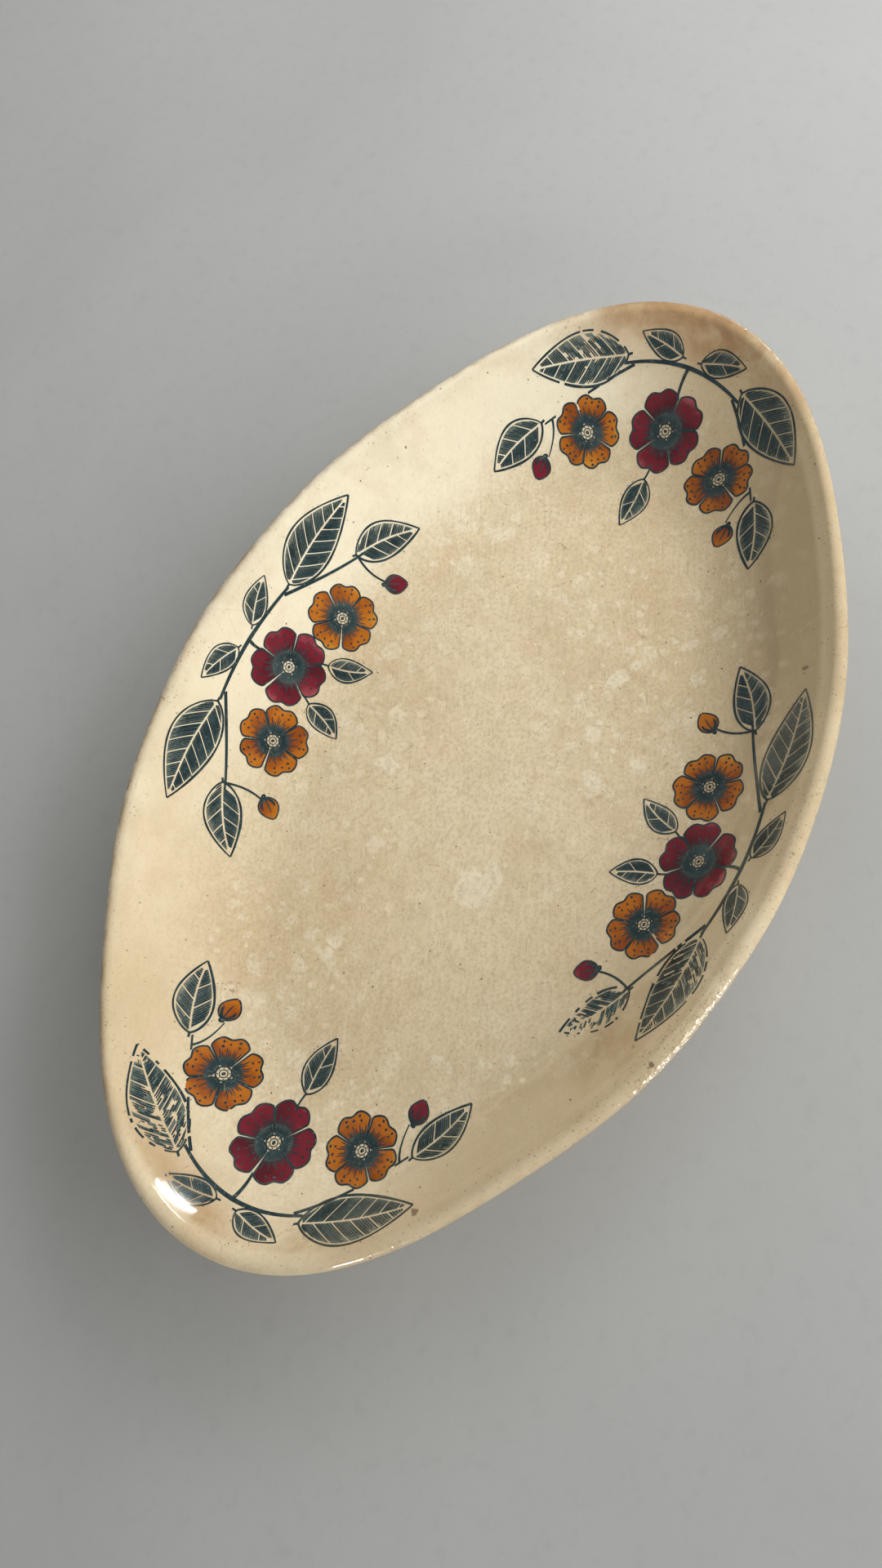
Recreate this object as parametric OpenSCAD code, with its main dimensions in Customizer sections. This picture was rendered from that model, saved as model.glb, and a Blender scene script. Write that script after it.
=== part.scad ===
// Boat-shaped appetizer dish in glazed earthenware, with four printed and tinted floral sprays
// round the inside of its wall. Millimetres. +Z is up, +X runs along the length, the foot
// stands on z = 0.

/* [Dish] */
// length over the two pointed ends
dish_length = 240; // [215:1:265]
// width over the two long sides
dish_width = 145; // [131:1:159]
// height from the table to the top of the lip
dish_height = 32; // [29:0.5:36]
// fullness of the outline where the flanks meet the ends
flank_fullness = 5.9; // [4.5:0.05:7]
// sharpness of the pointed ends
end_point = 2.05; // [1:0.05:2.6]
// small correction that keeps the very tip round
tip_round = 0.65; // [0:0.05:1]

/* [Wall and lip] */
// radius of the rolled lip
lip_radius = 2.1; // [1.8:0.1:2.8]
// slope of the wall where it leaves the lip, inside
inner_slope = 54; // [50:1:58]
// slope of the wall where it leaves the lip, outside
outer_slope = 52; // [49:1:55]
// how far the wall reaches in from the edge before the floor starts
wall_reach = 36; // [33:0.5:38]
// extra share of that reach at the pointed ends
end_flare = 0.2; // [0.1:0.05:0.3]
// height of the floor at its edge
floor_z = 8.6; // [7.8:0.1:9.6]
// how far the floor sinks to its middle
floor_sag = 0.6; // [0.2:0.1:1]

/* [Foot] */
// height at which the outer wall runs into the foot
foot_top = 3.4; // [3:0.1:4]
// distance of the foot's outer face from the edge of the dish
foot_inset = 33; // [30:0.5:35]
// width of the standing edge
foot_width = 3.8; // [3:0.1:5]
// height of the hollow inside the foot
foot_hollow = 2.6; // [1.8:0.1:3]

/* [Glaze and print] */
// thickness of the glaze
glaze = 0.3; // [0.2:0.05:0.4]
// thickness of the printed and tinted films
film = 0.1; // [0.06:0.01:0.2]
// size of the leaves and blossoms
motif_scale = 1; // [0.85:0.01:1.05]
// number of petals of a blossom
petals = 5; // [4:1:6]

/* [Hidden] */
clay = [0.87, 0.80, 0.66];
cream = [0.86, 0.79, 0.63];
slate = [0.22, 0.30, 0.30];
ochre = [0.80, 0.50, 0.13];
crimson = [0.62, 0.16, 0.25];

half_l = dish_length / 2;
half_w = dish_width / 2;
h0 = (half_l + half_w) / 2 - flank_fullness - tip_round;
h1 = (half_l - half_w) / 2 - end_point;

// distance of the edge from the middle, in direction t
function edge(t) = h0 + h1 * cos(2 * t) + flank_fullness * cos(4 * t)
                 + end_point * cos(6 * t) + tip_round * cos(8 * t);

// the lip stays even all round; the wall below it runs down to an oval floor
lip_join = lip_radius * (1 + sin(inner_slope));
floor_l = half_l - lip_join - (wall_reach - lip_join) * (1 + end_flare);
floor_w = half_w - wall_reach;
function floor_edge(t) = floor_l * floor_w / norm([floor_w * cos(t), floor_l * sin(t)]);
function flare(t) = (edge(t) - lip_join - floor_edge(t)) / (wall_reach - lip_join);
function inset(d, t) = d <= lip_join ? d : lip_join + (d - lip_join) * flare(t);

// directions of the facets, closer together at the pointed ends
steps = 72;
function turn(i) = let (q = 360 * i / steps) atan2(half_w * sin(q), half_l * cos(q));

// section of the dish: distance in from the edge and height
lip_z = dish_height - lip_radius;
wall_z = lip_z + lip_radius * cos(inner_slope);
wall_power = tan(inner_slope) * (wall_reach - lip_join) / (wall_z - floor_z);
function wall_in(k) = [lip_join + (wall_reach - lip_join) * k,
                       floor_z + (wall_z - floor_z) * pow(1 - k, wall_power), 1];
under_z = lip_z + lip_radius * cos(180 - outer_slope);
under_x = lip_radius * (1 - sin(180 - outer_slope));
out_power = tan(outer_slope) * (foot_inset - under_x) / (under_z - foot_top);
function wall_out(k) = [under_x + (foot_inset - under_x) * k,
                        foot_top + (under_z - foot_top) * pow(1 - k, out_power), 1];
function lip_at(q) = [lip_radius * (1 + sin(q)), lip_z + lip_radius * cos(q), 1];
function floor_at(f) = [wall_reach, floor_z - floor_sag * (1 - f * f), f];

// upper face, lip and outside as far as the glaze goes, from the middle outwards
skin = concat(
    [for (f = [0.35, 0.7, 1]) floor_at(f)],
    [for (k = [0.84, 0.68, 0.53, 0.39, 0.26, 0.13, 0]) wall_in(k)],
    [for (q = [inner_slope / 2, 0, -45, -90, outer_slope - 180]) lip_at(q)],
    [for (k = [0.14, 0.3, 0.5, 0.75, 1]) wall_out(k)],
    [[foot_inset + 0.8, foot_top * 0.36, 1]]);
// the hollow inside the foot, from its edge to the middle
inner_foot = foot_inset + 1.2 + foot_width;
hollow = [[inner_foot + 0.4, foot_top * 0.36, 1],
          [inner_foot + 1.8, foot_hollow, 1],
          [inner_foot + 1.8, foot_hollow + 0.3, 0.5]];

// the same section moved inwards by the glaze: the clay under it
function run(p) = p[0] + (1 - p[2]) * half_w / 2;
function side_of(a, b) = let (v = [b[1] - a[1], run(a) - run(b)]) v / norm(v);
function sunk(s, i) = let (n = side_of(s[max(i - 1, 0)], s[min(i + 1, len(s) - 1)]))
    [s[i][0] - glaze * n[0], s[i][1] - glaze * n[1], s[i][2]];
clay_skin = [for (i = [0 : len(skin) - 1]) sunk(skin, i)];
clay_hollow = [for (i = [0 : len(hollow) - 1]) sunk(hollow, i)];
top_mid = floor_z - floor_sag;
low_mid = foot_hollow + 0.3;

function ring(p) = [for (i = [0 : steps - 1]) let (t = turn(i), r = p[2] * (edge(t) - inset(p[0], t)))
    [r * cos(t), r * sin(t), p[1]]];

// closed skin through a section that starts and ends on the middle line
module swept(section, z_start, z_end) {
    n = len(section);
    last = n * steps + 1;
    points = concat([[0, 0, z_start]], [for (p = section) each ring(p)], [[0, 0, z_end]]);
    function at(j, i) = 1 + j * steps + i % steps;
    faces = concat(
        [for (i = [0 : steps - 1]) [0, at(0, i + 1), at(0, i)]],
        [for (j = [0 : n - 2]) for (i = [0 : steps - 1]) each
            [[at(j, i), at(j, i + 1), at(j + 1, i + 1)], [at(j, i), at(j + 1, i + 1), at(j + 1, i)]]],
        [for (i = [0 : steps - 1]) [at(n - 1, i), at(n - 1, i + 1), last]]);
    polyhedron(points, faces);
}

function back(s) = [for (i = [len(s) - 1 : -1 : 0]) s[i]];

module earthenware_body() color(clay)
    swept(concat(clay_skin,
                 [[foot_inset + 1.2 + glaze, 0, 1], [inner_foot - glaze, 0, 1]],
                 clay_hollow), top_mid - glaze, low_mid + glaze);

module clear_glaze() color(cream) {
    swept(concat(skin, back(clay_skin)), top_mid, top_mid - glaze);
    swept(concat(back(clay_hollow), hollow), low_mid + glaze, low_mid);
}

// ---- films on the inside of the wall ----

// height of the glazed upper face, facets included
face_z = concat([for (k = [4 : -1 : 1]) let (p = lip_at(inner_slope * k / 4)) [p[0], p[1]]],
                [for (i = [2 : 9]) [skin[i][0], skin[i][1]]]);
function edge_flat(t) = let (
    q = atan2(half_l * sin(t), half_w * cos(t)),
    i = floor(q * steps / 360),
    t0 = turn(i), t1 = turn(i + 1),
    p = edge(t0) * [cos(t0), sin(t0)], n = edge(t1) * [cos(t1), sin(t1)])
    (p[0] * n[1] - n[0] * p[1]) / (cos(t) * (n[1] - p[1]) - sin(t) * (n[0] - p[0]));
function face(p) = let (
    t = atan2(p[1], p[0]), q = edge_flat(t) - norm(p),
    d = q <= lip_join ? q : lip_join + (q - lip_join) / flare(t))
    d < wall_reach ? lookup(d, face_z)
                   : floor_at(min(1, norm(p) / (edge(t) - inset(wall_reach, t))))[1];

// distance down the wall from the lip's crest, against distance in from the edge
drop_line = concat([for (k = [0 : 4]) lip_at(inner_slope * k / 4)],
                   [for (i = [8 : -1 : 2]) skin[i]],
                   [[wall_reach + 40, floor_z, 1]]);
function run_to(i) = i == 0 ? 0 : run_to(i - 1)
    + norm([drop_line[i][0] - drop_line[i - 1][0], drop_line[i][1] - drop_line[i - 1][1]]);
drop_table = [for (i = [0 : len(drop_line) - 1]) [run_to(i), drop_line[i][0]]];
function reach(l) = lookup(l, drop_table);

// distance along the wall from the middle of a spray that faces direction t0
guide = 14;
function on_guide(t) = (edge(t) - inset(guide, t)) * [cos(t), sin(t)];
function along(t0, k) = k == 0 ? 0
    : along(t0, k - 1) + norm(on_guide(t0 + 2 * k) - on_guide(t0 + 2 * k - 2));
function along_table(t0) = [for (k = [0 : 40]) [along(t0, k), 2 * k]];

// a spot on the wall as [middle, direction along the rim, direction inwards, depth]
function spot(t0, table, s, l) = let (
    t = t0 + sign(s) * lookup(abs(s), table), e = 0.5,
    v = on_guide(t + e) - on_guide(t - e), a = v / norm(v))
    [(edge(t) - inset(reach(l), t)) * [cos(t), sin(t)], a, [-a[1], a[0]], l, flare(t)];
// a point of a flat motif laid on the wall at a spot
function laid(k, u, v) = k[0] + u * k[1] + (reach(k[3] + v) - reach(k[3])) * k[4] * k[2];

// closed film over a grid of spots; a ring of rows closes on itself
function slab(grid, closed) = let (
    n = len(grid), m = len(grid[0]), w = n * m,
    last = closed ? n - 1 : n - 2,
    gap = 0.05)
    [concat([for (r = grid) for (p = r) [p[0], p[1], face(p) + gap + film]],
            [for (r = grid) for (p = r) [p[0], p[1], face(p) + gap]]),
     concat(
        [for (i = [0 : last]) for (j = [0 : m - 2]) let (
            a = i * m + j, b = ((i + 1) % n) * m + j) each
            [[a, a + 1, b + 1], [a, b + 1, b], [w + a, w + b + 1, w + a + 1], [w + a, w + b, w + b + 1]]],
        [for (i = [0 : last]) let (a = i * m, b = ((i + 1) % n) * m, c = a + m - 1, d = b + m - 1) each
            [[a, b, w + b], [a, w + b, w + a], [c, w + d, d], [c, w + c, w + d]]],
        closed ? [] : [for (j = [0 : m - 2]) let (a = j, b = (n - 1) * m + j) each
            [[a, w + a + 1, a + 1], [a, w + a, w + a + 1], [b, b + 1, w + b + 1], [b, w + b + 1, w + b]]])];
function joined(list, i = 0, pts = [], fcs = []) = i == len(list) ? [pts, fcs]
    : joined(list, i + 1, concat(pts, list[i][0]),
             concat(fcs, [for (f = list[i][1]) [for (v = f) v + len(pts)]]));

// pointed leaf: [along, down, direction, length, width, bend]
function leaf(t0, table, g) = let (
    k = spot(t0, table, g[0], g[1]), c = cos(g[2]), s = sin(g[2]),
    len_ = g[3] * motif_scale, wid = g[4] * motif_scale)
    slab([for (i = [0 : 6]) let (
        x = i / 6, h = 0.15 + wid / 2 * pow(sin(180 * pow(x, 0.8)), 0.85) * (1 - 0.12 * x),
        y0 = g[5] * sin(180 * x))
        [for (j = [-1 : 1]) let (a = (x - 0.5) * len_, b = y0 + j * h) laid(k, a * c - b * s, a * s + b * c)]], false);
// open blossom: [along, down, radius, turn], with room for its eye
eye = 2.1;
function lobe(q) = 0.8 + 0.2 * pow(abs(cos(q * petals / 2)), 0.7);
function blossom(t0, table, g) = let (k = spot(t0, table, g[0], g[1]), n = petals * 4)
    slab([for (i = [0 : n - 1]) let (q = -360 * i / n, r = g[2] * motif_scale)
        [for (f = [0, 0.5, 1]) let (d = eye + 0.3 + f * (r * lobe(q) - eye - 0.3))
            laid(k, d * cos(q + g[3]), d * sin(q + g[3]))]], true);
// the printed eye of a blossom
function heart(t0, table, g) = let (k = spot(t0, table, g[0], g[1]))
    slab([for (i = [0 : 9]) [for (d = [0.5, eye]) laid(k, d * cos(-36 * i), d * sin(-36 * i))]], true);
// stem through three spots, tapering: [along 0, down 0, along 1, down 1, along 2, down 2, width]
function bent(a, b, c, x) = (1 - x) * (1 - x) * a + 2 * x * (1 - x) * b + x * x * c;
function stem(t0, table, g, n) = slab([for (i = [0 : n]) let (
    x = i / n, h = g[6] * (0.5 - 0.2 * x),
    p = bent([g[0], g[1]], [g[2], g[3]], [g[4], g[5]], x),
    q = bent([g[0], g[1]], [g[2], g[3]], [g[4], g[5]], x + 0.01) - p,
    w = [-q[1], q[0]] / norm(q) * h)
    [for (j = [-1, 1]) spot(t0, table, p[0] + j * w[0], p[1] + j * w[1])[0]]], false);

// sprays along the long sides
side_leaves = [[-27.5, 11.4, 187, 26, 12.8, 1.3], [28, 11.6, -6, 26, 12.8, -1.3],
               [-43.5, 24, 163, 17.5, 9.4, 0.9], [44, 24.8, 18, 17.5, 9.4, -0.9],
               [-7.9, 8.8, 203, 12, 6.6, 0.6], [8.1, 8.7, -23, 12, 6.6, -0.6],
               [-10.4, 37.2, 116, 11, 6.4, -0.5], [10.4, 37.8, 62, 11, 6.4, 0.5]];
side_red = [[0, 24.2, 9.6, 90]];
side_gold = [[-20.4, 28.2, 8.6, 70], [20.7, 28.9, 8.6, 110]];
side_stems = [[0, 12.2, -8, 12.4, -15, 12.8, 1], [0, 12.2, 8, 12.2, 15.4, 12.8, 1],
              [0.3, 12.8, 0.8, 13.6, 0.3, 14.6, 0.8],
              [-13, 13.2, -25, 19.6, -35.6, 21.6, 0.8], [13.2, 13.2, 25.4, 20, 36, 22.2, 0.8],
              [-34, 21, -34, 27, -38.6, 31.4, 0.6], [34.4, 21.6, 34.6, 28, 39.4, 32.4, 0.6]];
side_red_buds = [[-40.6, 33, 142, 5.6, 4.4, 0]];
side_gold_buds = [[41.4, 34, 38, 5.6, 4.4, 0]];

// sprays round the pointed ends
end_leaves = [[-25.5, 11.2, 187, 24, 12.4, 1.2], [26, 11.4, -7, 24, 12.4, -1.2],
              [-41, 23.6, 165, 16.5, 9, 0.8], [41.5, 24.2, 16, 16.5, 9, -0.8],
              [-7.4, 8.7, 203, 11.4, 6.4, 0.6], [7.6, 8.6, -23, 11.4, 6.4, -0.6],
              [0, 42.6, 90, 11.5, 6.8, 0.4]];
end_red = [[0, 26, 9, 90]];
end_gold = [[-20.6, 26.4, 8, 75], [20.9, 27, 8, 105]];
end_stems = [[0, 12, -8, 12.2, -14.4, 12.6, 1], [0, 12, 8, 12, 14.8, 12.6, 1],
             [0.3, 12.6, 0.8, 14.4, 0.3, 16.8, 0.8],
             [-12.6, 13, -24, 19, -33.4, 21.4, 0.8], [12.8, 13, 24.4, 19.4, 33.8, 21.8, 0.8]];
end_red_buds = [[33.4, 31.6, 44, 5.4, 4.2, 0]];
end_gold_buds = [[-33, 31, 136, 5.4, 4.2, 0]];

module films(list) {
    all = joined(list);
    polyhedron(all[0], all[1]);
}
side_t = 90;
end_t = 0;
side_table = along_table(side_t);
end_table = along_table(end_t);

module side_print() color(slate) films(concat(
    [for (g = side_leaves) leaf(side_t, side_table, g)],
    [for (g = concat(side_red, side_gold)) heart(side_t, side_table, g)],
    [for (i = [0 : len(side_stems) - 1]) stem(side_t, side_table, side_stems[i], i < 2 ? 8 : 4)]));
module side_ochre() color(ochre) films(concat(
    [for (g = side_gold) blossom(side_t, side_table, g)],
    [for (g = side_gold_buds) leaf(side_t, side_table, g)]));
module side_crimson() color(crimson) films(concat(
    [for (g = side_red) blossom(side_t, side_table, g)],
    [for (g = side_red_buds) leaf(side_t, side_table, g)]));
module end_print() color(slate) films(concat(
    [for (g = end_leaves) leaf(end_t, end_table, g)],
    [for (g = concat(end_red, end_gold)) heart(end_t, end_table, g)],
    [for (i = [0 : len(end_stems) - 1]) stem(end_t, end_table, end_stems[i], i < 2 ? 8 : 4)]));
module end_ochre() color(ochre) films(concat(
    [for (g = end_gold) blossom(end_t, end_table, g)],
    [for (g = end_gold_buds) leaf(end_t, end_table, g)]));
module end_crimson() color(crimson) films(concat(
    [for (g = end_red) blossom(end_t, end_table, g)],
    [for (g = end_red_buds) leaf(end_t, end_table, g)]));

// the opposite sprays are the same ones turned half round
module side_a_print() side_print();
module side_a_ochre() side_ochre();
module side_a_crimson() side_crimson();
module side_b_print() rotate([0, 0, 180]) side_print();
module side_b_ochre() rotate([0, 0, 180]) side_ochre();
module side_b_crimson() rotate([0, 0, 180]) side_crimson();
module end_a_print() end_print();
module end_a_ochre() end_ochre();
module end_a_crimson() end_crimson();
module end_b_print() rotate([0, 0, 180]) end_print();
module end_b_ochre() rotate([0, 0, 180]) end_ochre();
module end_b_crimson() rotate([0, 0, 180]) end_crimson();

earthenware_body();
clear_glaze();
side_a_print();
side_a_ochre();
side_a_crimson();
side_b_print();
side_b_ochre();
side_b_crimson();
end_a_print();
end_a_ochre();
end_a_crimson();
end_b_print();
end_b_ochre();
end_b_crimson();
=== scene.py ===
import math
import random

import bpy
import numpy as np
from mathutils import Matrix, Vector


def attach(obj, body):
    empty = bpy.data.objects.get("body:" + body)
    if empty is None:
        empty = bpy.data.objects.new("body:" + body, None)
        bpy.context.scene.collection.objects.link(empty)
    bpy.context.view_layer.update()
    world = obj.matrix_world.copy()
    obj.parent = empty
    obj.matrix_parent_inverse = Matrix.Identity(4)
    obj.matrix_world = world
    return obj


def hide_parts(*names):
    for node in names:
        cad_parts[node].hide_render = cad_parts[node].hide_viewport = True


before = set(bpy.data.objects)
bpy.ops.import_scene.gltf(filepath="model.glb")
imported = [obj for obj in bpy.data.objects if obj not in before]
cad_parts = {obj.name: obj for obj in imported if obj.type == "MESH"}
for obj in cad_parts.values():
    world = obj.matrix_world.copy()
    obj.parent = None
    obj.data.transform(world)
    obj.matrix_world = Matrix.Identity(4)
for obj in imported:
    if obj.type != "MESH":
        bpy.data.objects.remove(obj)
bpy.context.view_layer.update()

rng = random.Random(20)
MM = 0.001

# ---------------------------------------------------------------- shape of the dish, in millimetres

HALF_L, HALF_W, HEIGHT = 120.0, 72.5, 32.0
F2, F3, F4 = 5.9, 2.05, 0.65
H0 = (HALF_L + HALF_W) / 2 - F2 - F4
H1 = (HALF_L - HALF_W) / 2 - F3
LIP_R, IN_SLOPE, OUT_SLOPE = 2.1, math.radians(54), math.radians(52)
REACH, FLARE, FLOOR_Z, SAG = 36.0, 0.2, 8.6, 0.6
FOOT_TOP, FOOT_IN, FOOT_W, HOLLOW, GLAZE = 3.4, 33.0, 3.8, 2.6, 0.3
LIP_JOIN = LIP_R * (1 + math.sin(IN_SLOPE))
LIP_Z = HEIGHT - LIP_R
WALL_Z = LIP_Z + LIP_R * math.cos(IN_SLOPE)
WALL_N = math.tan(IN_SLOPE) * (REACH - LIP_JOIN) / (WALL_Z - FLOOR_Z)
UNDER_X = LIP_R * (1 - math.sin(math.pi - OUT_SLOPE))
UNDER_Z = LIP_Z + LIP_R * math.cos(math.pi - OUT_SLOPE)
OUT_N = math.tan(OUT_SLOPE) * (FOOT_IN - UNDER_X) / (UNDER_Z - FOOT_TOP)
FLOOR_L = HALF_L - LIP_JOIN - (REACH - LIP_JOIN) * (1 + FLARE)
FLOOR_W = HALF_W - REACH


def true_edge(t):
    return H0 + H1 * np.cos(2 * t) + F2 * np.cos(4 * t) + F3 * np.cos(6 * t) + F4 * np.cos(8 * t)


def edge(t):
    """The outline with the small unevenness of a pressed and fired dish."""
    return true_edge(t) - 0.15 + 0.16 * np.sin(3 * t + 1.2) + 0.12 * np.sin(5 * t + 0.4) + 0.07 * np.sin(11 * t + 2.0)


def floor_edge(t):
    return FLOOR_L * FLOOR_W / np.hypot(FLOOR_W * np.cos(t), FLOOR_L * np.sin(t))


def flare(t, outline=edge):
    return (outline(t) - LIP_JOIN - floor_edge(t)) / (REACH - LIP_JOIN)


def inset(d, t, outline=edge):
    return np.where(d <= LIP_JOIN, d, LIP_JOIN + (d - LIP_JOIN) * flare(t, outline))


def sway(t, z):
    """The rim isn't quite level: small rises and falls that fade out down the wall."""
    w = np.clip((z - FLOOR_Z) / (HEIGHT - FLOOR_Z), 0, 1)
    return w * (-0.12 + 0.17 * np.sin(2 * t + 0.7) + 0.11 * np.sin(3 * t + 2.1) + 0.06 * np.sin(7 * t + 0.5))


def wall_in(k):
    return FLOOR_Z + (WALL_Z - FLOOR_Z) * np.power(np.clip(1 - k, 0, 1), WALL_N)


def surf_z(x, y):
    """Height of the glazed upper face over a point of the plan."""
    t, rho = np.arctan2(y, x), np.hypot(x, y)
    q = edge(t) - rho
    d = np.where(q <= LIP_JOIN, q, LIP_JOIN + (q - LIP_JOIN) / flare(t))
    lip = LIP_Z + np.sqrt(np.clip(LIP_R**2 - (d - LIP_R) ** 2, 0, None))
    wall = wall_in((d - LIP_JOIN) / (REACH - LIP_JOIN))
    f = np.clip(rho / floor_edge(t), 0, 1)
    z = np.where(d < LIP_JOIN, lip, np.where(d < REACH, wall, FLOOR_Z - SAG * (1 - f * f) ** 2))
    return z + sway(t, z)


def lift(xy, h):
    """Points h millimetres off the glazed face, along its normal, over points of the plan."""
    x, y, e = xy[:, 0], xy[:, 1], 0.05
    z = surf_z(x, y)
    gx = (surf_z(x + e, y) - surf_z(x - e, y)) / (2 * e)
    gy = (surf_z(x, y + e) - surf_z(x, y - e)) / (2 * e)
    n = np.stack([-gx, -gy, np.ones_like(gx)], 1)
    n /= np.linalg.norm(n, axis=1)[:, None]
    return np.stack([x, y, z], 1) + n * np.asarray(h).reshape(-1, 1)


# ---------------------------------------------------------------- mesh helpers


def new_object(name, verts, faces, mats, index=None, tone=None, sharp=None):
    mesh = bpy.data.meshes.new(name)
    mesh.from_pydata([tuple(float(c) * MM for c in v) for v in verts], [], [tuple(int(i) for i in f) for f in faces])
    for m in mats:
        mesh.materials.append(m)
    if index is not None:
        mesh.polygons.foreach_set("material_index", np.asarray(index, dtype=np.int32))
    mesh.polygons.foreach_set("use_smooth", np.ones(len(mesh.polygons), dtype=bool))
    if tone is not None:
        a = mesh.attributes.new("tone", "FLOAT", "POINT")
        a.data.foreach_set("value", np.asarray(tone, dtype=np.float32))
    mesh.update()
    if sharp:
        mesh.set_sharp_from_angle(angle=math.radians(sharp))
    ob = bpy.data.objects.new(name, mesh)
    bpy.context.scene.collection.objects.link(ob)
    return ob


AROUND = 300
turns = np.arctan2(HALF_W * np.sin(2 * np.pi * np.arange(AROUND) / AROUND),
                   HALF_L * np.cos(2 * np.pi * np.arange(AROUND) / AROUND))


def ring(d, z, f=1.0):
    r = f * (edge(turns) - inset(np.full(AROUND, d), turns))
    return np.stack([r * np.cos(turns), r * np.sin(turns), z + sway(turns, np.full(AROUND, z))], 1)


def lathe(section, z_start, z_end):
    """Closed skin through a section that starts and ends on the middle line."""
    n = len(section)
    verts = np.vstack([[[0, 0, z_start]]] + [ring(*p) for p in section] + [[[0, 0, z_end]]])
    i = np.arange(AROUND)
    j = (i + 1) % AROUND
    faces = [(0, 1 + a, 1 + b) for a, b in zip(i, j)]
    for k in range(n - 1):
        a, b = 1 + k * AROUND, 1 + (k + 1) * AROUND
        faces += list(zip(a + i, b + i, b + j, a + j))
    a, last = 1 + (n - 1) * AROUND, 1 + n * AROUND
    faces += [(a + p, last, a + q) for p, q in zip(i, j)]
    return verts, faces


def run(p):
    return p[0] + (1 - p[2]) * 36


def sunk(section, depth):
    """The section moved into the body."""
    out = []
    for i, p in enumerate(section):
        a, b = section[max(i - 1, 0)], section[min(i + 1, len(section) - 1)]
        n = np.array([b[1] - a[1], run(a) - run(b)])
        n /= np.linalg.norm(n)
        g = depth[i] if hasattr(depth, "__len__") else depth
        out.append((p[0] - g * n[0], p[1] - g * n[1], p[2]))
    return out


skin = [(REACH, FLOOR_Z - SAG * (1 - f * f) ** 2, f) for f in np.linspace(0.045, 1, 22)]
skin += [(LIP_JOIN + (REACH - LIP_JOIN) * k, float(wall_in(k)), 1.0) for k in np.linspace(1, 0, 31)[1:]]
for q in np.linspace(IN_SLOPE, OUT_SLOPE - math.pi, 27)[1:]:
    skin.append((LIP_R * (1 + math.sin(q)), LIP_Z + LIP_R * math.cos(q), 1.0))
for k in np.linspace(0, 1, 22)[1:-1]:
    skin.append((UNDER_X + (FOOT_IN - UNDER_X) * k, FOOT_TOP + (UNDER_Z - FOOT_TOP) * (1 - k) ** OUT_N, 1.0))
skin += [(FOOT_IN - 0.1, 3.38, 1.0), (FOOT_IN + 0.25, 3.22, 1.0), (FOOT_IN + 0.45, 2.85, 1.0),
         (FOOT_IN + 0.58, 2.3, 1.0), (FOOT_IN + 0.68, 1.8, 1.0), (FOOT_IN + 0.8, 1.22, 1.0)]
IN_FOOT = FOOT_IN + 1.2 + FOOT_W
hollow = [(IN_FOOT + 0.4, 1.22, 1.0), (IN_FOOT + 0.55, 1.6, 1.0), (IN_FOOT + 0.85, 2.08, 1.0),
          (IN_FOOT + 1.3, 2.42, 1.0), (IN_FOOT + 1.8, HOLLOW, 1.0)]
hollow += [(IN_FOOT + 1.8, HOLLOW + 0.3 * (1 - f * f), f) for f in (0.93, 0.8, 0.65, 0.5, 0.35, 0.2, 0.08)]
clay_skin, clay_hollow = sunk(skin, GLAZE), sunk(hollow, GLAZE)
D0, D1 = FOOT_IN + 1.2 + GLAZE, IN_FOOT - GLAZE
standing = [(D0 - 0.22, 0.62, 1.0), (D0 - 0.06, 0.24, 1.0), (D0 + 0.3, 0.04, 1.0), (D0 + 0.8, 0.0, 1.0), (D0 + 1.6, 0.0, 1.0),
            (D1 - 0.8, 0.0, 1.0), (D1 - 0.3, 0.04, 1.0), (D1 + 0.06, 0.24, 1.0), (D1 + 0.22, 0.62, 1.0)]

# ---------------------------------------------------------------- materials


def lin(r, g, b):
    f = lambda c: c / 12.92 if c <= 0.04045 else ((c + 0.055) / 1.055) ** 2.4
    return (f(r / 255), f(g / 255), f(b / 255), 1.0)


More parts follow.
